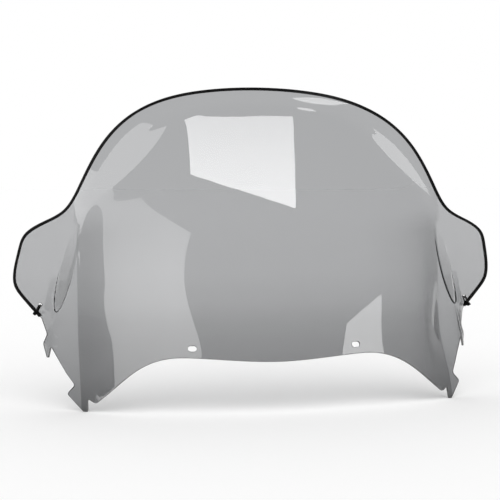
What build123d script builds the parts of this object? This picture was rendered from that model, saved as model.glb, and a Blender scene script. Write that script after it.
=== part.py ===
from build123d import *
from math import radians, cos, sin, sqrt
import os

# Windshield screen: one thermoformed sheet of tinted polycarbonate, bubbled in the middle, with a
# forward ear on each side behind a creased flank, hooked locating tabs below and two slotted holes
# near the bottom edge. A rubber U-channel trim covers its upper edge, and a cable tie holds each end
# of the trim.
#
# Frame: X across the vehicle, -Y to the front (the outer, convex side), +Z up, as fitted. The origin
# is midway between the two slots, on the outer face. Lengths are millimetres.

# ---- sheet and its mounting slots ----
SHEET = 3.0                 # sheet thickness
SLOT_SPACING = 248.8        # centre to centre
SLOT_LENGTH = 13.0          # end to end
SLOT_WIDTH = 8.0
TIE_HOLE = (339.5, 57.5)    # X, Z of the hole in the ear that the tie goes through
TIE_HOLE_R = 2.8

# ---- form of the outer face: its depth Y over X, Z ----
LEAN = 0.261                # backward lean of the middle, mm per mm of height
BASE_Y = 28.8               # where that leaning plane crosses Z = 0
SKIRT_LEAN = 0.267          # extra lean of the skirt
SKIRT_TOP = 29.0            # height below which the skirt leans more
SKIRT_ROUND = 60.0
CROWN_DEPTH = 24.0          # forward bulge of the upper part, inside the flared lip
CROWN_HALF_WIDTH = 285.0
CROWN_POWER = 2.6
CROWN_TOP_START = 117.5     # height above which the crown dies away
CROWN_TOP_LENGTH = 250.0
CROWN_TOP_ROUND = 60.0
LIP_RETURN = 18.0           # how fast the lip comes forward again past the edge of the crown
LIP_ROUND = 1.2             # softness of the line where the lip flares out of the crown
LIP_RIM = 0.22              # where the trimmed rim lies past that line, as a share of the crown
LIP_END = 0.27              # where the flare ends
LIP_END_ROUND = 0.05
WAIST_DEPTH = 30.0          # forward bulge of the lower part
WAIST_HALF_WIDTH = 250.0
BLEND_BOTTOM = -40.0        # between these heights the waist turns into the crown
BLEND_TOP = 200.0
WALL_SLOPE = 0.674          # side wall, mm back per mm outward
WALL_START = 238.0          # half-width at which the side wall starts, at Z = 0
WALL_DRIFT = 0.15           # how much further out it starts per mm of height
WALL_ROUND = 25.0
STEEP_START = 250.0         # half-width from which the side wall is steeper, to reach the crease
STEEP_ROUND = 10.0
CREASE_X = 284.5            # the sharp line where the side wall ends and the flank starts
CREASE_Y = 77.5             # depth of that line at Z = 0 if it ran on straight from above
CREASE_RISE = 0.104         # mm back per mm up
CREASE_FOOT_Y = 73.2        # the same for its lower part, which comes forward to meet the hooks
CREASE_FOOT_RISE = 0.79
CREASE_BEND = 8.0           # rounding between the upper and the lower part
CREASE_MERGE = 4.0          # softness where the crease dies out at the bottom
CREASE_ROUND = 6.0
CREASE_FADE_BOTTOM = 165.0  # between these heights the crease dies out towards the rim
CREASE_FADE_TOP = 225.0
FLANK_SWEEP = 0.07          # flank, mm back per mm outward
FLANK_SWEEP_ABOVE = 0.16    # added to it over the flank's upper part
FLANK_ABOVE = (50.0, 100.0)
FLANK_SWEEP_BELOW = 0.63    # added to it over the flank's lower part
FLANK_BELOW = (0.0, -60.0)
FLANK_HIDDEN = 20.0         # the flank's plane counts only this far inside the crease
TAB_SLOPE = 2.1             # further turn back of the flank's outer margin
TAB_START = 326.0
TAB_ROUND = 12.0
EAR_Y = 103.7               # depth of the ear plate at the point EAR_X, EAR_Z
EAR_X = 340.0
EAR_Z = 120.0
EAR_SWEEP = 0.084           # ear, mm back per mm outward
EAR_TILT = -0.132           # ear, mm back per mm up
EAR_TWIST = -0.0017         # change of the sweep per mm up
EAR_FOOT = 48.4             # height below which the ear turns back into the flank
EAR_FOOT_BEND = 0.019
EAR_FOOT_ROUND = 15.0
VALLEY_ROUND = 10.0         # fillet where the flank meets the ear

# ---- pocket pressed into the flank, with a nearly flat floor ----
POCKET_X = 299.0
POCKET_Z = 115.5
POCKET_TILT = 14.6          # its long axis leans inward at the top, degrees
POCKET_HALF_LENGTH = 68.0
POCKET_HALF_WIDTH = 9.5
POCKET_DEPTH = 5.0          # at its long axis
POCKET_FLOOR_SLOPE = 0.3    # the floor is deeper towards the crease
POCKET_SIDE_SLOPE = 1.2
POCKET_ROUND = 3.0
POCKET_FADE = 90.0          # length over which the pocket gets shallower towards its top

# ---- edge trim ----
TRIM_WALL = 1.4
TRIM_LEG = 2.8              # how far its legs reach in from the sheet's edge
TRIM_GAP = 0.15             # the channel clears the sheet by this much on each side
TRIM_RIGHT_END = 0.994      # the right end stops short of RIM_END, as a share of the rim's length
TRIM_SECTIONS = 60          # sections that each half of the trim is lofted through

# ---- ties ----
STRAP_THICKNESS = 1.2
STRAP_WIDTH = 3.0
STRAP_SEAT = 1.3            # the strap goes through the hole this far from its centre
LOOP_ROUND = 0.9            # inside corners of the strap's loop
TIE_CLEARANCE = 1.0         # room between the strap and the trim that it goes round
TIE_FOOT = (345.1, 45.4)    # X, Z of the point of the sheet's edge that the tie goes round
HEAD_LENGTH = 4.6
HEAD_HEIGHT = 3.0
HEAD_WIDTH = 4.8
HEAD_ROUND = 0.5
HEAD_SINK = 0.2             # the head sits this deep on the strap
TAIL_LENGTH = 2.2


def ramp(t, softness):
    """0 for a negative t and t for a positive one, with a rounded corner."""
    return (t + sqrt(t * t + softness * softness)) / 2


def lower(a, b, softness):
    """The lesser of a and b, with a rounded corner."""
    return (a + b - sqrt((a - b) ** 2 + softness ** 2)) / 2


def between(start, stop, value):
    """0 at start and 1 at stop, straight in between and constant outside."""
    return min(1.0, max(0.0, (value - start) / (stop - start)))


def eased(share):
    return share * share * (3 - 2 * share)


def pocket(u, z):
    """Depth of the teardrop pocket at half-width u and height z."""
    tilt = radians(POCKET_TILT)
    across = (u - POCKET_X) * cos(tilt) + (z - POCKET_Z) * sin(tilt)
    along = (z - POCKET_Z) * cos(tilt) - (u - POCKET_X) * sin(tilt)
    half_width = POCKET_HALF_WIDTH * sqrt(max(0.0, 1 - (along / POCKET_HALF_LENGTH) ** 2))
    fade = between(POCKET_HALF_LENGTH, POCKET_HALF_LENGTH - POCKET_FADE, along)
    inner = (half_width + across) * POCKET_SIDE_SLOPE
    outer = (half_width - across) * POCKET_SIDE_SLOPE
    floor = POCKET_DEPTH - POCKET_FLOOR_SLOPE * across
    return fade * ramp(lower(lower(inner, outer, POCKET_ROUND), floor, POCKET_ROUND), POCKET_ROUND)


def bulge(u, z):
    """How far the middle of the sheet stands forward at half-width u and height z."""
    rise = ramp(z - CROWN_TOP_START, CROWN_TOP_ROUND) / CROWN_TOP_LENGTH
    past_edge = (u / CROWN_HALF_WIDTH) ** CROWN_POWER + rise ** 2 - 1
    past_edge = lower(past_edge, LIP_END, LIP_END_ROUND)
    crown = -lower(CROWN_DEPTH * past_edge, -LIP_RETURN * past_edge, LIP_ROUND) - LIP_RETURN * LIP_RIM
    waist = WAIST_DEPTH * max(0.0, 1 - (u / WAIST_HALF_WIDTH) ** 2) ** 2
    share = eased(between(BLEND_BOTTOM, BLEND_TOP, z))
    return share * crown + (1 - share) * waist


def middle(u, z):
    """Y of the bubbled middle and its side wall, before the wall gets steeper towards the crease."""
    plane = BASE_Y + LEAN * z - SKIRT_LEAN * ramp(SKIRT_TOP - z, SKIRT_ROUND)
    return plane - bulge(u, z) + WALL_SLOPE * ramp(u - WALL_START - WALL_DRIFT * z, WALL_ROUND)


def side(u, z):
    """Y of the middle, and of the flank that follows it past the crease."""
    plain = middle(u, z)
    tab = TAB_SLOPE * ramp(u - TAB_START, TAB_ROUND)
    crease = lower(CREASE_Y + CREASE_RISE * z, CREASE_FOOT_Y + CREASE_FOOT_RISE * z, CREASE_BEND)
    root = middle(CREASE_X, z)
    pull = ramp(crease - root, CREASE_MERGE)
    steep = ramp(u - STEEP_START, STEEP_ROUND) / (CREASE_X - STEEP_START)
    sweep = FLANK_SWEEP + FLANK_SWEEP_ABOVE * between(*FLANK_ABOVE, z)
    sweep += FLANK_SWEEP_BELOW * between(*FLANK_BELOW, z)
    flank = root + pull + sweep * max(u - CREASE_X, -FLANK_HIDDEN) + tab
    creased = lower(plain + pull * steep, flank, CREASE_ROUND)
    fade = eased(between(CREASE_FADE_BOTTOM, CREASE_FADE_TOP, z))
    return creased + fade * (plain + tab - creased)


def depth(x, z):
    """Y of the sheet's outer face."""
    u = abs(x)
    out = u - EAR_X
    up = z - EAR_Z
    foot = EAR_FOOT_BEND * ramp(EAR_FOOT - z, EAR_FOOT_ROUND) ** 2
    ear = EAR_Y + EAR_SWEEP * out + EAR_TILT * up + EAR_TWIST * out * up + foot
    return lower(side(u, z), ear, VALLEY_ROUND) + pocket(u, z)


def offset_depth(x, z, distance):
    """Y of a surface that lies the given distance behind the outer face."""
    step = 0.5
    slope_x = (depth(x + step, z) - depth(x - step, z)) / (2 * step)
    slope_z = (depth(x, z + step) - depth(x, z - step)) / (2 * step)
    return depth(x, z) + distance * sqrt(1 + slope_x ** 2 + slope_z ** 2)


def stations(start, stop, step):
    count = round((stop - start) / step)
    return [start + (stop - start) * i / count for i in range(count)]


def sheet_surface(distance):
    """The face that lies the given distance behind the right half of the outer face."""
    columns = stations(-12, 222, 12) + stations(222, 270, 8) + stations(270, 330, 3)
    columns += stations(330, 402, 8) + [402]
    rows = stations(-102, 402, 8) + [402]
    points = [[(x, offset_depth(x, z, distance), z) for x in columns] for z in rows]
    return Face.make_surface_from_array_of_points(points, tol=0.2)


# Right half of the sheet's edge in the XZ plane, from the top centre round to the bottom centre.
# The rim is the part that the trim covers; the lower edge carries the two hooked tabs.
RIM_TOP = (0, 389)
RIM_END = (339.9, 39.4)
rim_points = [
    RIM_TOP, (80, 384.4), (150, 369.4), (199.2, 345.1), (238.9, 307.8), (278.7, 239.4),
    (289, 219.2), (303.8, 199.6), (326, 186), (349.3, 173.8), (362.5, 161.8), (370.5, 140),
    (377, 110), (376, 87), (366, 70.6), RIM_END,
]
lower_edge = [
    RIM_END, (337.6, 36.6), (330.2, 14.5), (336.2, 0), (330.4, -23.5), (325.4, -2.4), (304.4, -39),
    (293.2, -54), (304.6, -66.5), (276.8, -95), (276, -71.2), (265.6, -77.4), (240, -56.2),
]
lower_edge_radii = [3, 9, 8, 1.2, 1.2, 40, 4, 4, 4, 1.4, 6]
bottom_points = [(240, -56.2), (210, -33), (186, -20.6), (160, -14), (120, -13.2), (0, -19.2)]


def rim_line():
    return Spline(*rim_points, tangents=[(1, 0), (-0.65, -0.76)])


def slab_between(front, back):
    """Cuts the part in hand down to what lies between two surfaces of the sheet."""
    split(bisect_by=front, keep=Keep.TOP)
    split(bisect_by=back, keep=Keep.BOTTOM)


THROUGH = 300               # longer than the sheet is deep, to each side

# ---- the sheet ----
with BuildPart() as screen:
    with BuildSketch(Plane.XZ):
        with BuildLine():
            rim_line()
            FilletPolyline(*lower_edge, radius=lower_edge_radii)
            Spline(*bottom_points, tangents=[(-1, 0.86), (-1, 0)])
            Line(bottom_points[-1], RIM_TOP)
        make_face()
        with Locations((SLOT_SPACING / 2, 0)):
            SlotOverall(SLOT_LENGTH, SLOT_WIDTH, mode=Mode.SUBTRACT)
        with Locations(TIE_HOLE):
            Circle(TIE_HOLE_R, mode=Mode.SUBTRACT)
    extrude(amount=THROUGH, both=True)
    slab_between(sheet_surface(0), sheet_surface(SHEET))
    mirror(about=Plane.YZ)

# ---- edge trim: a U-channel over the rim ----
rim = rim_line()


def trim_section(position):
    """The plane across the rim at a position from 0 to 1, and the channel's profile in it."""
    start = rim @ position
    run = rim % position
    outward = Vector(-run.Y, run.X)
    plane = Plane(origin=(start.X, 0, start.Y), x_dir=(outward.X, 0, outward.Y), z_dir=(run.X, 0, run.Y))
    back = SHEET + TRIM_GAP
    corners = [
        (TRIM_WALL, -TRIM_WALL), (TRIM_WALL, SHEET + TRIM_WALL), (-TRIM_LEG, SHEET + TRIM_WALL),
        (-TRIM_LEG, back), (TRIM_GAP, back), (TRIM_GAP, -TRIM_GAP), (-TRIM_LEG, -TRIM_GAP),
        (-TRIM_LEG, -TRIM_WALL),
    ]
    profile = []
    for reach, layer in corners:
        x, z = start.X + outward.X * reach, start.Y + outward.Y * reach
        profile.append(plane.to_local_coords(Vector(x, offset_depth(x, z, layer), z)))
    return plane, [(point.X, point.Y) for point in profile]


def trim_sections(far_end):
    """Sections of one half of the channel, from the top centre to a position along the rim."""
    sections = []
    for index in range(TRIM_SECTIONS + 1):
        section_plane, profile = trim_section(far_end * index / TRIM_SECTIONS)
        with BuildSketch(section_plane) as section:
            with BuildLine():
                Polyline(*profile, close=True)
            make_face()
        sections.append(section.sketch)
    return sections


with BuildPart() as edge_trim:
    loft(trim_sections(1))
    mirror(about=Plane.YZ, mode=Mode.REPLACE)
    loft(trim_sections(TRIM_RIGHT_END))


# ---- ties: a strap through the ear's hole and round the trim ----
def mid_point(x, z):
    return Vector(x, offset_depth(x, z, SHEET / 2), z)


hole_point = mid_point(*TIE_HOLE)
foot_point = mid_point(*TIE_FOOT)
along_tie = (foot_point - hole_point).normalized()
behind = Vector(0, offset_depth(*TIE_HOLE, SHEET) - offset_depth(*TIE_HOLE, 0), 0)
across_tie = along_tie.cross(behind).normalized()
tie_plane = Plane(origin=hole_point, x_dir=along_tie, z_dir=across_tie)

loop_start = STRAP_SEAT + STRAP_THICKNESS / 2
loop_end = (foot_point - hole_point).length + TRIM_WALL + 2 * TIE_CLEARANCE
loop_height = SHEET + 2 * TRIM_WALL + 2 * TIE_CLEARANCE
loop_middle = (loop_start + loop_end) / 2
loop_length = loop_end - loop_start
head_middle = loop_end - HEAD_LENGTH / 2
head_front = -loop_height / 2 - STRAP_THICKNESS - HEAD_HEIGHT + HEAD_SINK

with BuildPart() as trim_tie_right:
    with BuildSketch(tie_plane):
        with Locations((loop_middle, 0)):
            RectangleRounded(
                loop_length + 2 * STRAP_THICKNESS,
                loop_height + 2 * STRAP_THICKNESS,
                LOOP_ROUND + STRAP_THICKNESS,
            )
            RectangleRounded(loop_length, loop_height, LOOP_ROUND, mode=Mode.SUBTRACT)
    extrude(amount=STRAP_WIDTH / 2, both=True)
    with BuildSketch(tie_plane):
        with Locations((head_middle, head_front + HEAD_HEIGHT / 2)):
            RectangleRounded(HEAD_LENGTH, HEAD_HEIGHT, HEAD_ROUND)
    extrude(amount=HEAD_WIDTH / 2, both=True)
    with BuildSketch(tie_plane):
        with Locations((head_middle, head_front - TAIL_LENGTH / 2)):
            Rectangle(STRAP_THICKNESS, TAIL_LENGTH)
    extrude(amount=STRAP_WIDTH / 2, both=True)

with BuildPart() as trim_tie_left:
    add(mirror(trim_tie_right.part, about=Plane.YZ, mode=Mode.PRIVATE))

# ---- hand over ----
pieces = {
    "screen": screen,
    "edge_trim": edge_trim,
    "trim_tie_left": trim_tie_left,
    "trim_tie_right": trim_tie_right,
}
os.makedirs("parts", exist_ok=True)
for name, piece in pieces.items():
    piece.part.label = name
    export_step(piece.part, f"parts/{name}.step")
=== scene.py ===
"""Windshield screen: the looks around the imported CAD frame.

A smoke-tinted sheet with a rubber edge trim and two cable ties stands over a pale floor in soft
studio light. Shapes are worked out in millimetres, in the frame's axes: X across, -Y to the front
(the outer, convex side), +Z up. Blender's objects are in metres.
"""

import math

import bpy
import numpy as np
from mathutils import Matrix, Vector
from mathutils.geometry import delaunay_2d_cdt


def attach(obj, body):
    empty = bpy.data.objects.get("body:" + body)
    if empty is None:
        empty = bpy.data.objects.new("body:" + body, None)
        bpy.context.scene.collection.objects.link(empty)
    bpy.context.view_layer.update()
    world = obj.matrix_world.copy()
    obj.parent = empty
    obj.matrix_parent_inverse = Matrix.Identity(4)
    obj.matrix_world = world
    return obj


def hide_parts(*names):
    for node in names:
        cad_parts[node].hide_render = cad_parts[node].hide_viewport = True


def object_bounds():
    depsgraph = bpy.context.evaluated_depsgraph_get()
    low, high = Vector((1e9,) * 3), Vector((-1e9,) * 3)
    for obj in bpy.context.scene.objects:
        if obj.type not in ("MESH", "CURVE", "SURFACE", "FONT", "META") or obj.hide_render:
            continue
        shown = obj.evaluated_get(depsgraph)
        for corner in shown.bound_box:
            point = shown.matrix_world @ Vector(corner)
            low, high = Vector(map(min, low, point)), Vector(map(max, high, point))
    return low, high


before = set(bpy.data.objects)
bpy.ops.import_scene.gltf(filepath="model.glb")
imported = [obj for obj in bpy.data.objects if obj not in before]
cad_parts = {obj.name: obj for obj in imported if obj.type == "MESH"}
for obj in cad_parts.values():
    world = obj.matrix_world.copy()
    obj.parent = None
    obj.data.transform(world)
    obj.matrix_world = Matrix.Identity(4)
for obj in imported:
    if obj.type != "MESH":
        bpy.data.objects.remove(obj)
cad_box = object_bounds()

MM = 0.001

# ---- driving dimensions, as the CAD has them ----
SHEET = 3.0
SLOT_SPACING = 248.8
SLOT_LENGTH = 13.0
SLOT_WIDTH = 8.0
TIE_HOLE = (339.5, 57.5)
TIE_HOLE_R = 2.8
TRIM_WALL = 1.4
TRIM_LEG = 2.8
TRIM_RIGHT_END = 0.994      # the trim's right end, as a share of the rim's length
TIE_FOOT = (345.1, 45.4)
STRAP_THICKNESS = 1.2
STRAP_WIDTH = 3.0
STRAP_SEAT = 1.3            # the strap goes through the hole this far from its centre
LOOP_ROUND = 1.6            # outer corners of the strap's loop
TIE_CLEARANCE = 0.7         # room between the strap and the trim, 0.3 less than in the CAD

# ---- form of the outer face, with the CAD's names ----
LEAN = 0.261                # backward lean of the middle, mm per mm of height
BASE_Y = 28.8               # where that leaning plane crosses Z = 0
SKIRT_LEAN = 0.267          # extra lean of the skirt
SKIRT_TOP = 29.0            # height below which the skirt leans more
SKIRT_ROUND = 60.0
CROWN_DEPTH = 24.0          # forward bulge of the upper part, inside the flared lip
CROWN_HALF_WIDTH = 285.0
CROWN_POWER = 2.6
CROWN_TOP_START = 117.5     # height above which the crown dies away
CROWN_TOP_LENGTH = 250.0
CROWN_TOP_ROUND = 60.0
LIP_RETURN = 18.0           # how fast the lip comes forward again past the edge of the crown
LIP_ROUND = 1.2             # softness of the line where the lip flares out of the crown
LIP_RIM = 0.22              # where the trimmed rim lies past that line, as a share of the crown
LIP_END = 0.27              # where the flare ends
LIP_END_ROUND = 0.05
WAIST_DEPTH = 30.0          # forward bulge of the lower part
WAIST_HALF_WIDTH = 250.0
BLEND = (-40.0, 200.0)      # between these heights the waist turns into the crown
WALL_SLOPE = 0.674          # side wall, mm back per mm outward
WALL_START = 238.0          # half-width at which the side wall starts, at Z = 0
WALL_DRIFT = 0.15           # how much further out it starts per mm of height
WALL_ROUND = 25.0
STEEP_START = 250.0         # half-width from which the side wall is steeper, to reach the crease
STEEP_ROUND = 10.0
CREASE_X = 284.5            # the sharp line where the side wall ends and the flank starts
CREASE_Y = 77.5             # depth of that line at Z = 0 if it ran on straight from above
CREASE_RISE = 0.104         # mm back per mm up
CREASE_FOOT_Y = 73.2        # the same for its lower part, which comes forward to meet the hooks
CREASE_FOOT_RISE = 0.79
CREASE_BEND = 8.0           # rounding between the upper and the lower part
CREASE_MERGE = 4.0          # softness where the crease dies out at the bottom
CREASE_ROUND = 3.0          # sharper than the CAD's 6
CREASE_FADE = (165.0, 225.0)    # between these heights the crease dies out towards the rim
FLANK_SWEEP = 0.07          # flank, mm back per mm outward
FLANK_SWEEP_ABOVE = 0.16    # added to it over the flank's upper part
FLANK_ABOVE = (50.0, 100.0)
FLANK_SWEEP_BELOW = 0.63    # added to it over the flank's lower part
FLANK_BELOW = (0.0, -60.0)
FLANK_HIDDEN = 20.0         # the flank's plane counts only this far inside the crease
TAB_SLOPE = 2.1             # further turn back of the flank's outer margin
TAB_START = 326.0
TAB_ROUND = 12.0
EAR_Y = 103.7               # depth of the ear plate at the point EAR_X, EAR_Z
EAR_X = 340.0
EAR_Z = 120.0
EAR_SWEEP = 0.084           # ear, mm back per mm outward
EAR_TILT = -0.132           # ear, mm back per mm up
EAR_TWIST = -0.0017         # change of the sweep per mm up
EAR_FOOT = 48.4             # height below which the ear turns back into the flank
EAR_FOOT_BEND = 0.019
EAR_FOOT_ROUND = 15.0
VALLEY_ROUND = 10.0         # fillet where the flank meets the ear
POCKET_X = 299.0            # middle of the pocket pressed into the flank
POCKET_Z = 115.5
POCKET_TILT = 14.6          # its long axis leans inward at the top, degrees
POCKET_HALF_LENGTH = 68.0
POCKET_HALF_WIDTH = 9.5
POCKET_DEPTH = 5.0          # at its long axis
POCKET_FLOOR_SLOPE = 0.3    # the floor is deeper towards the crease
POCKET_SIDE_SLOPE = 1.7     # steeper than the CAD's 1.2
POCKET_ROUND = 1.5          # sharper than the CAD's 3
POCKET_BRIM_ROUND = 1.8     # rounding where its wall leaves the flank
POCKET_FADE = 90.0          # length over which the pocket gets shallower towards its top

# ---- finish ----
SMOKE_DENSITY = 262.0       # absorption per metre: 3 mm of sheet lets 46 % of the light through
ROOM_GLOW = 0.12            # brightness of the dim room that the sheet's gloss reflects
EDGE_BREAK = 0.4            # rounding of the sheet's cut edges
OUTLINE_STEP = 1.6          # length of the outline's facets
NORMAL_STEP = 0.25          # half step of the slopes' differences


# ---- form of the outer face ----
def ramp(t, softness):
    """0 for a negative t and t for a positive one, with a rounded corner."""
    return (t + np.sqrt(t * t + softness * softness)) / 2


def lower(a, b, softness):
    """The lesser of a and b, with a rounded corner."""
    return (a + b - np.sqrt((a - b) ** 2 + softness ** 2)) / 2


def between(start, stop, value):
    """0 at start and 1 at stop, straight in between and constant outside."""
    return np.clip((value - start) / (stop - start), 0.0, 1.0)


def eased(share):
    return share * share * (3 - 2 * share)


def pocket(u, z):
    """Depth of the pocket pressed into the flank, with a nearly flat floor."""
    tilt = math.radians(POCKET_TILT)
    across = (u - POCKET_X) * math.cos(tilt) + (z - POCKET_Z) * math.sin(tilt)
    along = (z - POCKET_Z) * math.cos(tilt) - (u - POCKET_X) * math.sin(tilt)
    half_width = POCKET_HALF_WIDTH * np.sqrt(np.maximum(0.0, 1 - (along / POCKET_HALF_LENGTH) ** 2))
    fade = between(POCKET_HALF_LENGTH, POCKET_HALF_LENGTH - POCKET_FADE, along)
    inner = (half_width + across) * POCKET_SIDE_SLOPE
    outer = (half_width - across) * POCKET_SIDE_SLOPE
    floor = POCKET_DEPTH - POCKET_FLOOR_SLOPE * across
    return fade * ramp(lower(lower(inner, outer, POCKET_ROUND), floor, POCKET_ROUND), POCKET_BRIM_ROUND)


def bulge(u, z):
    """How far the middle of the sheet stands forward."""
    rise = ramp(z - CROWN_TOP_START, CROWN_TOP_ROUND) / CROWN_TOP_LENGTH
    past_edge = (u / CROWN_HALF_WIDTH) ** CROWN_POWER + rise ** 2 - 1
    past_edge = lower(past_edge, LIP_END, LIP_END_ROUND)
    crown = -lower(CROWN_DEPTH * past_edge, -LIP_RETURN * past_edge, LIP_ROUND) - LIP_RETURN * LIP_RIM
    waist = WAIST_DEPTH * np.maximum(0.0, 1 - (u / WAIST_HALF_WIDTH) ** 2) ** 2
    share = eased(between(*BLEND, z))
    return share * crown + (1 - share) * waist


def middle(u, z):
    """Depth of the bubbled middle and its side wall, before the wall gets steeper towards the crease."""
    plane = BASE_Y + LEAN * z - SKIRT_LEAN * ramp(SKIRT_TOP - z, SKIRT_ROUND)
    return plane - bulge(u, z) + WALL_SLOPE * ramp(u - WALL_START - WALL_DRIFT * z, WALL_ROUND)


def flanked(u, z):
    """Depth of the middle, and of the flank that follows it past the crease."""
    plain = middle(u, z)
    tab = TAB_SLOPE * ramp(u - TAB_START, TAB_ROUND)
    crease = lower(CREASE_Y + CREASE_RISE * z, CREASE_FOOT_Y + CREASE_FOOT_RISE * z, CREASE_BEND)
    root = middle(CREASE_X, z)
    pull = ramp(crease - root, CREASE_MERGE)
    steep = ramp(u - STEEP_START, STEEP_ROUND) / (CREASE_X - STEEP_START)
    sweep = FLANK_SWEEP + FLANK_SWEEP_ABOVE * between(*FLANK_ABOVE, z)
    sweep = sweep + FLANK_SWEEP_BELOW * between(*FLANK_BELOW, z)
    flank = root + pull + sweep * np.maximum(u - CREASE_X, -FLANK_HIDDEN) + tab
    creased = lower(plain + pull * steep, flank, CREASE_ROUND)
    fade = eased(between(*CREASE_FADE, z))
    return creased + fade * (plain + tab - creased)


def depth(x, z):
    """Y of the sheet's outer face."""
    u = np.abs(x)
    out = u - EAR_X
    up = z - EAR_Z
    foot = EAR_FOOT_BEND * ramp(EAR_FOOT - z, EAR_FOOT_ROUND) ** 2
    ear = EAR_Y + EAR_SWEEP * out + EAR_TILT * up + EAR_TWIST * out * up + foot
    return lower(flanked(u, z), ear, VALLEY_ROUND) + pocket(u, z)


def surface(x, z):
    """Points of the outer face over x, z, and its unit normals, which point back into the sheet."""
    h = NORMAL_STEP
    slope_x = (depth(x + h, z) - depth(x - h, z)) / (2 * h)
    slope_z = (depth(x, z + h) - depth(x, z - h)) / (2 * h)
    normals = np.stack([-slope_x, np.ones_like(slope_x), -slope_z], axis=1)
    normals /= np.linalg.norm(normals, axis=1)[:, None]
    return np.stack([x, depth(x, z), z], axis=1), normals


def layer(flat, distance):
    """Points that lie the given distance behind the outer face at flat (x, z) places."""
    points, normals = surface(flat[:, 0], flat[:, 1])
    return points + normals * distance


# ---- outline of the right half, from the top centre round to the bottom centre ----
RIM_TOP = (0, 389)
RIM_END = (339.9, 39.4)
RIM_POINTS = [
    RIM_TOP, (80, 384.4), (150, 369.4), (199.2, 345.1), (238.9, 307.8), (278.7, 239.4),
    (289, 219.2), (303.8, 199.6), (326, 186), (349.3, 173.8), (362.5, 161.8), (370.5, 140),
    (377, 110), (376, 87), (366, 70.6), RIM_END,
]
LOWER_EDGE = [
    RIM_END, (337.6, 36.6), (330.2, 14.5), (336.2, 0), (330.4, -23.5), (325.4, -2.4), (304.4, -39),
    (293.2, -54), (304.6, -66.5), (276.8, -95), (276, -71.2), (265.6, -77.4), (240, -56.2),
]
LOWER_EDGE_RADII = [3, 9, 8, 1.2, 1.2, 40, 4, 4, 4, 1.4, 6]
BOTTOM_POINTS = [(240, -56.2), (210, -33), (186, -20.6), (160, -14), (120, -13.2), (0, -19.2)]


def spline(points, start_run, end_run):
    """A smooth curve through points with the given end directions, as close points along it."""
    p = np.array(points, float)
    gaps = np.linalg.norm(np.diff(p, axis=0), axis=1)
    count = len(p)
    system = np.zeros((count, count))
    right = np.zeros((count, 2))
    system[0, 0] = system[-1, -1] = 1
    right[0] = np.array(start_run, float) / np.linalg.norm(start_run)
    right[-1] = np.array(end_run, float) / np.linalg.norm(end_run)
    for i in range(1, count - 1):
        a, b = gaps[i - 1], gaps[i]
        system[i, i - 1:i + 2] = [b, 2 * (a + b), a]
        right[i] = 3 * (b * (p[i] - p[i - 1]) / a + a * (p[i + 1] - p[i]) / b)
    runs = np.linalg.solve(system, right)
    line = []
    for i in range(count - 1):
        t = np.linspace(0, 1, max(2, math.ceil(gaps[i] / 0.4)), endpoint=False)[:, None]
        line.append(
            (1 + 2 * t) * (1 - t) ** 2 * p[i] + t * (1 - t) ** 2 * gaps[i] * runs[i]
            + t * t * (3 - 2 * t) * p[i + 1] + t * t * (t - 1) * gaps[i] * runs[i + 1]
        )
    return np.vstack(line + [p[-1:]])


def rounded_path(points, radii):
    """A path of straight runs, each of its corners rounded with its own radius."""
    p = np.array(points, float)
    line = [p[0]]
    for corner, before, after, radius in zip(p[1:-1], p[:-2], p[2:], radii):
        back = (before - corner) / np.linalg.norm(before - corner)
        on = (after - corner) / np.linalg.norm(after - corner)
        half = math.acos(np.clip(back @ on, -1, 1)) / 2
        middle = back + on
        centre = corner + middle / np.linalg.norm(middle) * radius / math.sin(half)
        first = corner + back * radius / math.tan(half)
        last = corner + on * radius / math.tan(half)
        start = math.atan2(*(first - centre)[::-1])
        turn = math.atan2(*(last - centre)[::-1]) - start
        turn = (turn + math.pi) % (2 * math.pi) - math.pi
        steps = max(4, math.ceil(abs(turn) * radius / 0.4))
        angles = start + turn * np.arange(steps + 1) / steps
        line += list(centre + radius * np.stack([np.cos(angles), np.sin(angles)], axis=1))
    return np.array(line + [p[-1]])


def evenly(line, step):
    """The same path with evenly spaced points."""
    lengths = np.concatenate([[0], np.cumsum(np.linalg.norm(np.diff(line, axis=0), axis=1))])
    count = max(2, round(lengths[-1] / step))
    places = np.linspace(0, lengths[-1], count + 1)
    return np.stack([np.interp(places, lengths, line[:, k]) for k in range(2)], axis=1)


def outward(line, closed):
    """Unit vectors across a path, to its left as it runs."""
    if closed:
        run = np.roll(line, -1, axis=0) - np.roll(line, 1, axis=0)
    else:
        run = np.gradient(line, axis=0)
    run /= np.linalg.norm(run, axis=1)[:, None]
    return np.stack([-run[:, 1], run[:, 0]], axis=1)


rim = spline(RIM_POINTS, (1, 0), (-0.65, -0.76))
lower_line = rounded_path(LOWER_EDGE, LOWER_EDGE_RADII)
bottom_line = spline(BOTTOM_POINTS, (-1, 0.86), (-1, 0))


def whole_outline():
    """The closed outline of the sheet, clockwise as the front view has X to the right."""
    upper = evenly(rim, OUTLINE_STEP)
    tabs = evenly(lower_line, OUTLINE_STEP / 2)
    bottom = evenly(bottom_line, OUTLINE_STEP)
    right = np.vstack([upper[:-1], tabs[:-1], bottom])
    left = right[-2:0:-1] * [-1, 1]
    return np.vstack([right, left])


def slot_outline(centre_x):
    """A level slot, anticlockwise."""
    radius = SLOT_WIDTH / 2
    reach = SLOT_LENGTH / 2 - radius
    angles = np.linspace(-math.pi / 2, math.pi / 2, 17)
    end = np.stack([reach + radius * np.cos(angles), radius * np.sin(angles)], axis=1)
    return np.vstack([end, -end]) + [centre_x, 0]


def round_outline(centre, radius):
    angles = np.arange(28) / 28 * 2 * math.pi
    return np.array(centre) + radius * np.stack([np.cos(angles), np.sin(angles)], axis=1)


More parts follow.
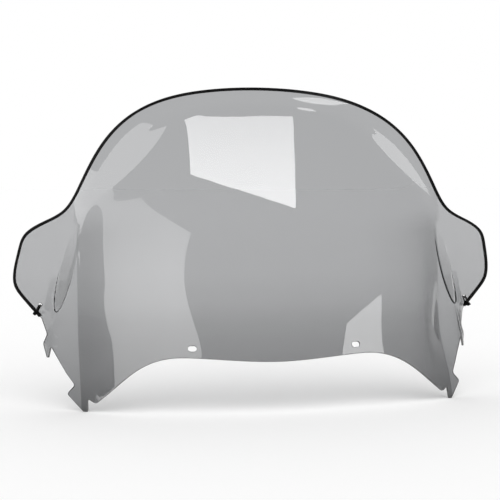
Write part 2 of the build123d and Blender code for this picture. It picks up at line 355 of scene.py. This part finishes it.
# ---- meshes ----
def piece_from(name, vertices, faces, normals=None, slots=None):
    """A mesh object in metres from points in millimetres, which rides on the frame."""
    mesh = bpy.data.meshes.new(name)
    mesh.from_pydata((np.asarray(vertices) * MM).tolist(), [], faces)
    mesh.polygons.foreach_set("use_smooth", [True] * len(mesh.polygons))
    if slots is not None:
        mesh.polygons.foreach_set("material_index", slots)
    mesh.update()
    if normals is not None:
        mesh.normals_split_custom_set_from_vertices(np.asarray(normals).tolist())
    piece = bpy.data.objects.new(name, mesh)
    bpy.context.scene.collection.objects.link(piece)
    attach(piece, "root")
    return piece


def inside(points, polygon):
    """Which points lie inside a closed polygon."""
    result = np.zeros(len(points), bool)
    x, z = points[:, 0], points[:, 1]
    for (x0, z0), (x1, z1) in zip(polygon, np.roll(polygon, -1, axis=0)):
        if z0 == z1:
            continue
        crosses = (z0 > z) != (z1 > z)
        result ^= crosses & (x < (x1 - x0) * (z - z0) / (z1 - z0) + x0)
    return result


def clear_of(points, line, distance):
    """Which points keep a distance from every point of a path."""
    result = np.ones(len(points), bool)
    for start in range(0, len(line), 64):
        part = line[start:start + 64]
        low, high = part.min(0) - distance, part.max(0) + distance
        near = np.flatnonzero(result & ((points > low) & (points < high)).all(1))
        gaps = np.linalg.norm(points[near][:, None] - part[None], axis=2).min(1) if len(near) else []
        result[near] = np.asarray(gaps) > distance
    return result


def field_points(outline, holes):
    """Points over the sheet: a grid of 5 mm, and of 2.5 and 1.25 mm where the form turns faster."""
    fine = 1.25
    columns = np.arange(-304, 305) * fine
    rows = np.arange(-74, 312) * fine
    x, z = [g.ravel() for g in np.meshgrid(columns, rows)]
    i, j = [g.ravel() for g in np.meshgrid(np.arange(-304, 305), np.arange(-74, 312))]
    turn = np.zeros(len(x))
    for dx, dz in ((fine, 0), (0, fine)):
        ahead = surface(x + dx, z + dz)[1]
        behind = surface(x - dx, z - dz)[1]
        turn = np.maximum(turn, np.linalg.norm(ahead - behind, axis=1) / (2 * fine))
    step = np.where(turn > 0.012, 1, np.where(turn > 0.005, 2, 4))
    keep = (i % step == 0) & (j % step == 0)
    points = np.stack([x, z], axis=1)[keep]
    points = points[inside(points, outline)]
    for line in [outline] + holes:
        points = points[clear_of(points, line, 1.0)]
    return points


def build_screen():
    """The sheet as a closed solid with softened cut edges, normal to its faces all round."""
    outline = whole_outline()
    holes = [slot_outline(side * SLOT_SPACING / 2) for side in (1, -1)]
    holes += [round_outline((side * TIE_HOLE[0], TIE_HOLE[1]), TIE_HOLE_R) for side in (1, -1)]
    loops = [outline] + holes
    edges_out = [outward(line, True) for line in loops]
    insets = [line - out * EDGE_BREAK for line, out in zip(loops, edges_out)]

    flat = np.vstack(insets + [field_points(insets[0], holes)])
    borders = []
    start = 0
    for line in insets:
        count = len(line)
        borders += [(start + k, start + (k + 1) % count) for k in range(count)]
        start += count
    rim_count = start
    outer_face = list(range(len(insets[0])))
    found = delaunay_2d_cdt([Vector(p) for p in flat], borders, [outer_face], 1, 1e-4)
    places = np.array([tuple(p) for p in found[0]])
    triangles = np.array(found[2])
    centres = places[triangles].mean(1)
    for line in insets[1:]:
        triangles = triangles[~inside(centres, line)]
        centres = places[triangles].mean(1)
    if len(places) != len(flat):
        raise SystemExit("the sheet's points were merged: space them out")

    points, normals = surface(places[:, 0], places[:, 1])
    vertices = [points, points + normals * SHEET]
    shades = [-normals, normals]
    count = len(points)
    a, b, c = places[triangles].transpose(1, 0, 2)
    spin = (b - a)[:, 0] * (c - a)[:, 1] - (b - a)[:, 1] * (c - a)[:, 0]
    triangles[spin < 0] = triangles[spin < 0][:, ::-1]
    faces = triangles.tolist() + (triangles[:, ::-1] + count).tolist()
    slots = [0] * len(faces)

    start = 0
    base = 2 * count
    for line, out in zip(loops, edges_out):
        size = len(line)
        _, back = surface(line[:, 0], line[:, 1])
        across = np.stack([out[:, 0], np.zeros(size), out[:, 1]], axis=1)
        across -= back * (across * back).sum(1)[:, None]
        across /= np.linalg.norm(across, axis=1)[:, None]
        vertices += [layer(line, EDGE_BREAK), layer(line, SHEET - EDGE_BREAK)]
        shades += [across, across]
        for k in range(size):
            n = (k + 1) % size
            ring = [(start + k, start + n), (base + k, base + n), (base + size + k, base + size + n)]
            ring.append((count + start + k, count + start + n))
            for (p, q), (r, s) in zip(ring, ring[1:]):
                faces.append([p, q, s, r])
                slots.append(1)
        start += size
        base += 2 * size
    return piece_from("smoke_sheet", np.vstack(vertices), faces, np.vstack(shades), slots)


def rounded_profile(corners, segments=4):
    """A closed profile of (reach, layer) corners, each with its own rounding radius."""
    profile = []
    for index, (reach, deep, radius) in enumerate(corners):
        corner = np.array([reach, deep], float)
        before = np.array(corners[index - 1][:2], float)
        after = np.array(corners[(index + 1) % len(corners)][:2], float)
        back = (before - corner) / np.linalg.norm(before - corner)
        on = (after - corner) / np.linalg.norm(after - corner)
        first, last = corner + back * radius, corner + on * radius
        for t in np.linspace(0, 1, segments + 1):
            profile.append((1 - t) ** 2 * first + 2 * t * (1 - t) * corner + t * t * last)
    return np.array(profile)


def build_trim():
    """The rubber channel over the rim, swept from the left tie round to the right one."""
    right = evenly(rim, 2.5)
    stop = round(TRIM_RIGHT_END * (len(right) - 1))
    path = np.vstack([right[:0:-1] * [-1, 1], right[:stop + 1]])
    across = outward(path, False)
    top, bottom = -TRIM_WALL, SHEET + TRIM_WALL
    profile = rounded_profile([
        (TRIM_WALL, top, 1.3), (TRIM_WALL, bottom, 1.3),
        (-TRIM_LEG, bottom, 0.5), (-TRIM_LEG, SHEET + 0.02, 0.3), (0.1, SHEET + 0.1, 0.1),
        (0.1, -0.1, 0.1), (-TRIM_LEG, -0.02, 0.3), (-TRIM_LEG, top, 0.5),
    ])
    vertices, faces = [], []
    size = len(profile)
    for place, out in zip(path, across):
        flat = place + profile[:, :1] * out
        points, normals = surface(flat[:, 0], flat[:, 1])
        vertices.append(points + normals * profile[:, 1:])
    for ring in range(len(path) - 1):
        for k in range(size):
            n = (k + 1) % size
            faces.append([ring * size + k, ring * size + n, (ring + 1) * size + n, (ring + 1) * size + k])
    last = (len(path) - 1) * size
    faces.append(list(range(size))[::-1])
    faces.append([last + k for k in range(size)])
    return piece_from("rubber_trim", np.vstack(vertices), faces)


def tube_along(path, half_width, half_thick, side):
    """A strap with a chamfered rectangular section along a closed path in a plane."""
    size = len(path)
    centre = path.mean(0)
    section = [
        (-half_width, half_thick * 0.5), (-half_width * 0.85, half_thick), (half_width * 0.85, half_thick),
        (half_width, half_thick * 0.5), (half_width, -half_thick * 0.5), (half_width * 0.85, -half_thick),
        (-half_width * 0.85, -half_thick), (-half_width, -half_thick * 0.5),
    ]
    vertices, faces = [], []
    for k in range(size):
        run = path[(k + 1) % size] - path[k - 1]
        run /= np.linalg.norm(run)
        out = np.cross(run, side)
        if out @ (path[k] - centre) < 0:
            out = -out
        vertices += [path[k] + side * a + out * b for a, b in section]
    for k in range(size):
        for m in range(8):
            a, b = k * 8 + m, k * 8 + (m + 1) % 8
            n = ((k + 1) % size) * 8
            faces.append([a, b, n + (m + 1) % 8, n + m])
    return vertices, faces


def block(centre, axes, sizes, chamfer):
    """A box with chamfered long edges, as points and faces."""
    vertices, faces = [], []
    a, b, c = [np.array(axis) * size / 2 for axis, size in zip(axes, sizes)]
    ka, kb = 1 - 2 * chamfer / sizes[0], 1 - 2 * chamfer / sizes[1]
    kc = 1 - 2 * chamfer / sizes[2]
    ring = [(-ka, -1), (ka, -1), (1, -kb), (1, kb), (ka, 1), (-ka, 1), (-1, kb), (-1, -kb)]
    for level, shrink in ((-1, 1), (-kc, 0), (kc, 0), (1, 1)):
        for p, q in ring:
            squeeze = (ka, kb) if shrink else (1, 1)
            vertices.append(centre + a * p * squeeze[0] + b * q * squeeze[1] + c * level)
    for level in range(3):
        for m in range(8):
            n = (m + 1) % 8
            faces.append([level * 8 + m, level * 8 + n, level * 8 + 8 + n, level * 8 + 8 + m])
    faces.append(list(range(8))[::-1])
    faces.append([24 + m for m in range(8)])
    return vertices, faces


def build_tie(side):
    """The cable tie on one side: its loop through the ear's hole and round the trim, head and tail."""
    def middle(flat):
        return layer(np.array([[side * flat[0], flat[1]]]), SHEET / 2)[0]

    hole, foot = middle(TIE_HOLE), middle(TIE_FOOT)
    along = (foot - hole) / np.linalg.norm(foot - hole)
    back = surface(np.array([side * TIE_HOLE[0]]), np.array([TIE_HOLE[1]]))[1][0]
    back -= along * (along @ back)
    back /= np.linalg.norm(back)
    across = np.cross(along, back)
    start = STRAP_SEAT + STRAP_THICKNESS / 2
    end = np.linalg.norm(foot - hole) + TRIM_WALL + 2 * TIE_CLEARANCE
    height = SHEET + 2 * TRIM_WALL + 2 * TIE_CLEARANCE
    reach, rise = (end - start + STRAP_THICKNESS) / 2, (height + STRAP_THICKNESS) / 2
    corners = [(reach, -rise), (reach, rise), (-reach, rise), (-reach, -rise)]
    flat = rounded_profile([(p, q, LOOP_ROUND) for p, q in corners], 6)
    centre = hole + along * (start + end) / 2
    path = np.array([centre + along * p + back * q for p, q in flat])
    vertices, faces = tube_along(path, STRAP_WIDTH / 2, STRAP_THICKNESS / 2, across)
    head_middle = hole + along * (end - 2.3)
    front = -height / 2 - STRAP_THICKNESS
    axes = (along, back, across)
    tail_sizes = (STRAP_THICKNESS, 2.4, STRAP_WIDTH)
    parts = [
        block(head_middle + back * (front - 1.3), axes, (4.6, 3.0, 4.8), 0.5),
        block(head_middle + back * (front - 3.8), axes, tail_sizes, 0.15),
    ]
    for more, more_faces in parts:
        shift = len(vertices)
        vertices = list(vertices) + list(more)
        faces += [[index + shift for index in face] for face in more_faces]
    piece = piece_from("cable_tie_left" if side < 0 else "cable_tie_right", vertices, faces)
    piece.data.polygons.foreach_set("use_smooth", [False] * len(piece.data.polygons))
    return piece


# ---- materials ----
def principled(name, **values):
    """A material whose Principled shader has these plain values."""
    material = bpy.data.materials.new(name)
    material.use_nodes = True
    shader = material.node_tree.nodes["Principled BSDF"]
    for key, value in values.items():
        shader.inputs[key.replace("_", " ")].default_value = value
    return material, material.node_tree, shader


def add_node(tree, kind, **settings):
    node = tree.nodes.new(kind)
    for key, value in settings.items():
        if key in node.inputs:
            node.inputs[key].default_value = value
        else:
            setattr(node, key, value)
    return node


def grey_ramp(tree, source, stops):
    """A colour ramp from grey stops, driven by a socket from 0 to 1."""
    tint = add_node(tree, "ShaderNodeValToRGB")
    marks = tint.color_ramp.elements
    while len(marks) < len(stops):
        marks.new(0.5)
    for mark, (place, grey) in zip(marks, stops):
        mark.position = place
        mark.color = (grey, grey, grey, 1)
    tree.links.new(source, tint.inputs["Fac"])
    return tint.outputs["Color"]


def span(tree, source, start, stop):
    """A socket that runs from 0 to 1 while the source runs from start to stop."""
    stretch = add_node(tree, "ShaderNodeMapRange")
    stretch.inputs["From Min"].default_value = start
    stretch.inputs["From Max"].default_value = stop
    tree.links.new(source, stretch.inputs["Value"])
    return stretch.outputs["Result"]


def blended(tree, kind, share, first, second):
    """Two colours blended; share and second may be sockets or plain values."""
    mix = add_node(tree, "ShaderNodeMix", data_type="RGBA", blend_type=kind)
    for socket, value in ((mix.inputs[0], share), (mix.inputs[6], first), (mix.inputs[7], second)):
        if isinstance(value, bpy.types.NodeSocket):
            tree.links.new(value, socket)
        else:
            socket.default_value = value
    return mix.outputs[2]


def smoke_and_shade_material():
    """Grey-tinted polycarbonate with painted shade in its base colour: darker towards the skirt, in the side
    walls and in the pockets.
    """
    material, tree, shader = principled(
        "smoke_polycarbonate_painted_shade", Transmission_Weight=1.0, IOR=1.585, Roughness=0.0,
    )
    white = (1, 1, 1, 1)
    place = add_node(tree, "ShaderNodeTexCoord")
    split = add_node(tree, "ShaderNodeSeparateXYZ")
    tree.links.new(place.outputs["Object"], split.inputs[0])
    outward_x = add_node(tree, "ShaderNodeMath", operation="ABSOLUTE")
    tree.links.new(split.outputs["X"], outward_x.inputs[0])
    # Painted shade: the base colour gets darker towards the bottom of the sheet.
    height = span(tree, split.outputs["Z"], -0.09, 0.39)
    skirt = grey_ramp(tree, height, [
        (0.0, 0.52), (0.1, 0.62), (0.2, 0.68), (0.26, 0.75), (0.32, 0.87), (0.41, 0.96), (0.6, 1.0),
    ])
    # Past the crease 35 % of that painted shade is lifted.
    past_crease = add_node(tree, "ShaderNodeMath", operation="GREATER_THAN")
    past_crease.inputs[1].default_value = CREASE_X * MM
    tree.links.new(outward_x.outputs[0], past_crease.inputs[0])
    shade_lift = add_node(tree, "ShaderNodeMath", operation="MULTIPLY")
    shade_lift.inputs[1].default_value = 0.35
    tree.links.new(past_crease.outputs[0], shade_lift.inputs[0])
    skirt = blended(tree, "MIX", shade_lift.outputs[0], skirt, white)
    # Painted shade: darker from 150 mm out to the crease, fading out between 165 and 200 mm up.
    wall = grey_ramp(tree, span(tree, outward_x.outputs[0], 0.15, CREASE_X * MM), [
        (0.0, 1.0), (0.45, 0.94), (0.75, 0.86), (1.0, 0.82),
    ])
    wall = blended(tree, "MIX", past_crease.outputs[0], wall, white)
    wall = blended(tree, "MIX", span(tree, split.outputs["Z"], 0.165, 0.2), wall, white)
    tone = blended(tree, "MULTIPLY", 1.0, skirt, wall)
    # Painted shade in the pockets: 22 % darker inside their ovals, fading out between 110 and 170 mm up.
    folded = add_node(tree, "ShaderNodeCombineXYZ")
    tree.links.new(outward_x.outputs[0], folded.inputs["X"])
    tree.links.new(split.outputs["Z"], folded.inputs["Z"])
    oval = add_node(
        tree, "ShaderNodeMapping", vector_type="TEXTURE", Location=(POCKET_X * MM, 0, POCKET_Z * MM),
        Rotation=(0, -math.radians(POCKET_TILT), 0), Scale=(POCKET_HALF_WIDTH * MM, 1, POCKET_HALF_LENGTH * MM),
    )
    tree.links.new(folded.outputs[0], oval.inputs["Vector"])
    reach = add_node(tree, "ShaderNodeVectorMath", operation="LENGTH")
    tree.links.new(oval.outputs[0], reach.inputs[0])
    pressed = add_node(tree, "ShaderNodeMath", operation="MULTIPLY")
    tree.links.new(span(tree, reach.outputs["Value"], 1.0, 0.9), pressed.inputs[0])
    tree.links.new(span(tree, split.outputs["Z"], 0.17, 0.11), pressed.inputs[1])
    tone = blended(tree, "MULTIPLY", pressed.outputs[0], tone, (0.78, 0.78, 0.78, 1))
    # The painted shade goes into the base colour; the smoke tint itself is the absorption below.
    tree.links.new(tone, shader.inputs["Base Color"])
    depth = add_node(tree, "ShaderNodeVolumeAbsorption", Color=(0.0, 0.012, 0.034, 1), Density=SMOKE_DENSITY)
    tree.links.new(depth.outputs[0], tree.nodes["Material Output"].inputs["Volume"])
    return material


def edge_material():
    """The sheet's cut edge: the tint seen along its depth, dark grey, with a dull polish."""
    material, tree, shader = principled(
        "sheet_edge", Transmission_Weight=0.6, IOR=1.585, Roughness=0.25,
    )
    place = add_node(tree, "ShaderNodeTexCoord")
    noise = add_node(tree, "ShaderNodeTexNoise", Scale=180.0, Detail=3.0)
    tree.links.new(place.outputs["Object"], noise.inputs["Vector"])
    tint = add_node(tree, "ShaderNodeValToRGB")
    tint.color_ramp.elements[0].color = (0.16, 0.16, 0.16, 1)
    tint.color_ramp.elements[1].color = (0.3, 0.3, 0.296, 1)
    tree.links.new(noise.outputs["Fac"], tint.inputs["Fac"])
    tree.links.new(tint.outputs["Color"], shader.inputs["Base Color"])
    return material


def grained_material(name, dark, light, rough, scale, bump):
    """A black moulded or extruded surface with a fine grain."""
    material, tree, shader = principled(name, Roughness=rough, Specular_IOR_Level=0.12)
    place = add_node(tree, "ShaderNodeTexCoord")
    noise = add_node(tree, "ShaderNodeTexNoise", Scale=scale, Detail=4.0)
    tree.links.new(place.outputs["Object"], noise.inputs["Vector"])
    tint = add_node(tree, "ShaderNodeValToRGB")
    tint.color_ramp.elements[0].color = (dark, dark, dark, 1)
    tint.color_ramp.elements[1].color = (light, light, light, 1)
    tree.links.new(noise.outputs["Fac"], tint.inputs["Fac"])
    tree.links.new(tint.outputs["Color"], shader.inputs["Base Color"])
    dull = add_node(tree, "ShaderNodeMapRange")
    dull.inputs["To Min"].default_value = rough - 0.08
    dull.inputs["To Max"].default_value = rough + 0.08
    tree.links.new(noise.outputs["Fac"], dull.inputs["Value"])
    tree.links.new(dull.outputs["Result"], shader.inputs["Roughness"])
    lift = add_node(tree, "ShaderNodeBump", Strength=bump, Distance=0.0002)
    tree.links.new(noise.outputs["Fac"], lift.inputs["Height"])
    tree.links.new(lift.outputs["Normal"], shader.inputs["Normal"])
    return material


# ---- studio ----
def white_world():
    """White all round, and darker in front of the object where only the sheet's gloss looks."""
    world = bpy.data.worlds.new("studio")
    bpy.context.scene.world = world
    world.use_nodes = True
    tree = world.node_tree
    paper = tree.nodes["Background"]
    paper.inputs["Color"].default_value = (1, 1, 1, 1)
    paper.inputs["Strength"].default_value = 1.0
    room = add_node(tree, "ShaderNodeBackground")
    place = add_node(tree, "ShaderNodeTexCoord")
    split = add_node(tree, "ShaderNodeSeparateXYZ")
    tree.links.new(place.outputs["Generated"], split.inputs[0])
    shade = add_node(tree, "ShaderNodeMapRange")
    shade.inputs["From Min"].default_value = 0.2
    shade.inputs["From Max"].default_value = 0.6
    shade.inputs["To Min"].default_value = ROOM_GLOW
    shade.inputs["To Max"].default_value = 1.0
    tree.links.new(split.outputs["Y"], shade.inputs["Value"])
    tree.links.new(shade.outputs["Result"], room.inputs["Strength"])
    path = add_node(tree, "ShaderNodeLightPath")
    mix = add_node(tree, "ShaderNodeMixShader")
    gloss = add_node(tree, "ShaderNodeMath", operation="MULTIPLY")
    tree.links.new(path.outputs["Is Reflection Ray"], gloss.inputs[0])
    tree.links.new(path.outputs["Is Glossy Ray"], gloss.inputs[1])
    tree.links.new(gloss.outputs[0], mix.inputs[0])
    tree.links.new(paper.outputs[0], mix.inputs[1])
    tree.links.new(room.outputs[0], mix.inputs[2])
    tree.links.new(mix.outputs[0], tree.nodes["World Output"].inputs["Surface"])


def soft_panel(name, y, corners, glow_low, glow_high=None):
    """A glowing card, upright at depth y, that only glossy surfaces see. Its glow may change upwards."""
    mesh = bpy.data.meshes.new(name)
    mesh.from_pydata([(x * MM, y * MM, z * MM) for x, z in corners], [], [list(range(len(corners)))])
    panel = bpy.data.objects.new(name, mesh)
    bpy.context.scene.collection.objects.link(panel)
    material = bpy.data.materials.new(name)
    material.use_nodes = True
    tree = material.node_tree
    tree.nodes.clear()
    light = add_node(tree, "ShaderNodeEmission", Strength=glow_low)
    if glow_high is not None:
        place = add_node(tree, "ShaderNodeTexCoord")
        split = add_node(tree, "ShaderNodeSeparateXYZ")
        tree.links.new(place.outputs["Generated"], split.inputs[0])
        fade = add_node(tree, "ShaderNodeMapRange")
        fade.inputs["To Min"].default_value = glow_low
        fade.inputs["To Max"].default_value = glow_high
        tree.links.new(split.outputs["Z"], fade.inputs["Value"])
        tree.links.new(fade.outputs["Result"], light.inputs["Strength"])
    output = add_node(tree, "ShaderNodeOutputMaterial")
    tree.links.new(light.outputs[0], output.inputs["Surface"])
    mesh.materials.append(material)
    panel.visible_camera = False
    panel.visible_diffuse = False
    panel.visible_transmission = False
    panel.visible_shadow = False


def strip_card(name, y, start, end, width, glow):
    """A slim card, pointed at both ends and widest in the middle."""
    first, last = np.array(start, float), np.array(end, float)
    run = (last - first) / np.linalg.norm(last - first)
    half = np.array([-run[1], run[0]]) * width / 2
    shares = np.linspace(0, 1, 9)[:, None]
    bow = 4 * shares * (1 - shares)
    middle = first + (last - first) * shares
    soft_panel(name, y, np.vstack([middle + half * bow, (middle - half * bow)[-2:0:-1]]).tolist(), glow)


def build_floor(height):
    size = 30.0
    mesh = bpy.data.meshes.new("floor")
    corners = [(-size, -size, height), (size, -size, height), (size, size, height), (-size, size, height)]
    mesh.from_pydata(corners, [], [(0, 1, 2, 3)])
    floor = bpy.data.objects.new("floor", mesh)
    bpy.context.scene.collection.objects.link(floor)
    mesh.materials.append(principled("floor", Base_Color=(1, 1, 1, 1), Roughness=1.0,
                                     Specular_IOR_Level=0.0)[0])


def build_camera():
    data = bpy.data.cameras.new("camera")
    data.sensor_width = 36
    data.lens = 89.28
    camera = bpy.data.objects.new("camera", data)
    camera.location = (-0.407, -1.781, 0.2515)
    camera.rotation_euler = (math.radians(86.6), 0, math.radians(-11.7))
    bpy.context.scene.collection.objects.link(camera)
    bpy.context.scene.camera = camera


# ---- put together ----
build_camera()
bpy.context.scene.view_settings.view_transform = "Standard"
white_world()
build_floor(cad_box[0][2])

# Plain soft boxes and strip cards in front of the sheet, and two flags that keep them out of its lip
# and its left flank.
soft_panel("top_box", -300, [(-80, 580), (170, 470), (230, 850), (-60, 820)], 9.0, 6.0)
soft_panel("tall_box", -300, [
    (-190, 200), (-100, 390), (-240, 500), (-440, 470), (-600, 240), (-1500, 200),
], 3.1, 1.6)
soft_panel("low_card", -100, [(275, 60), (170, 60), (200, 115), (280, 140)], 5.0, 4.0)
soft_panel("lip_flag", 100, [
    (-300, 330), (-150, 340), (-95, 368), (165, 368), (180, 335), (230, 335), (230, 470), (-300, 470),
], ROOM_GLOW)
soft_panel("flank_flag", 50, [(-345, 5), (-290, 5), (-290, 55), (-345, 55)], ROOM_GLOW)
strip_card("left_strip", 80, (-280, 205), (-140, 365), 30, 2.4)
strip_card("right_strip", 90, (185, 335), (275, 220), 15, 3.2)
strip_card("rim_strip", 105, (60, 382), (150, 372), 10, 5.0)

screen = build_screen()
screen.data.materials.append(smoke_and_shade_material())
screen.data.materials.append(edge_material())
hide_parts("screen")

trim = build_trim()
trim.data.materials.append(grained_material("trim_rubber", 0.0015, 0.005, 0.5, 900.0, 0.3))
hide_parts("edge_trim")

nylon = grained_material("tie_nylon", 0.002, 0.007, 0.4, 1400.0, 0.2)
for side, node in ((-1, "trim_tie_left"), (1, "trim_tie_right")):
    tie = build_tie(side)
    tie.data.materials.append(nylon)
    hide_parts(node)
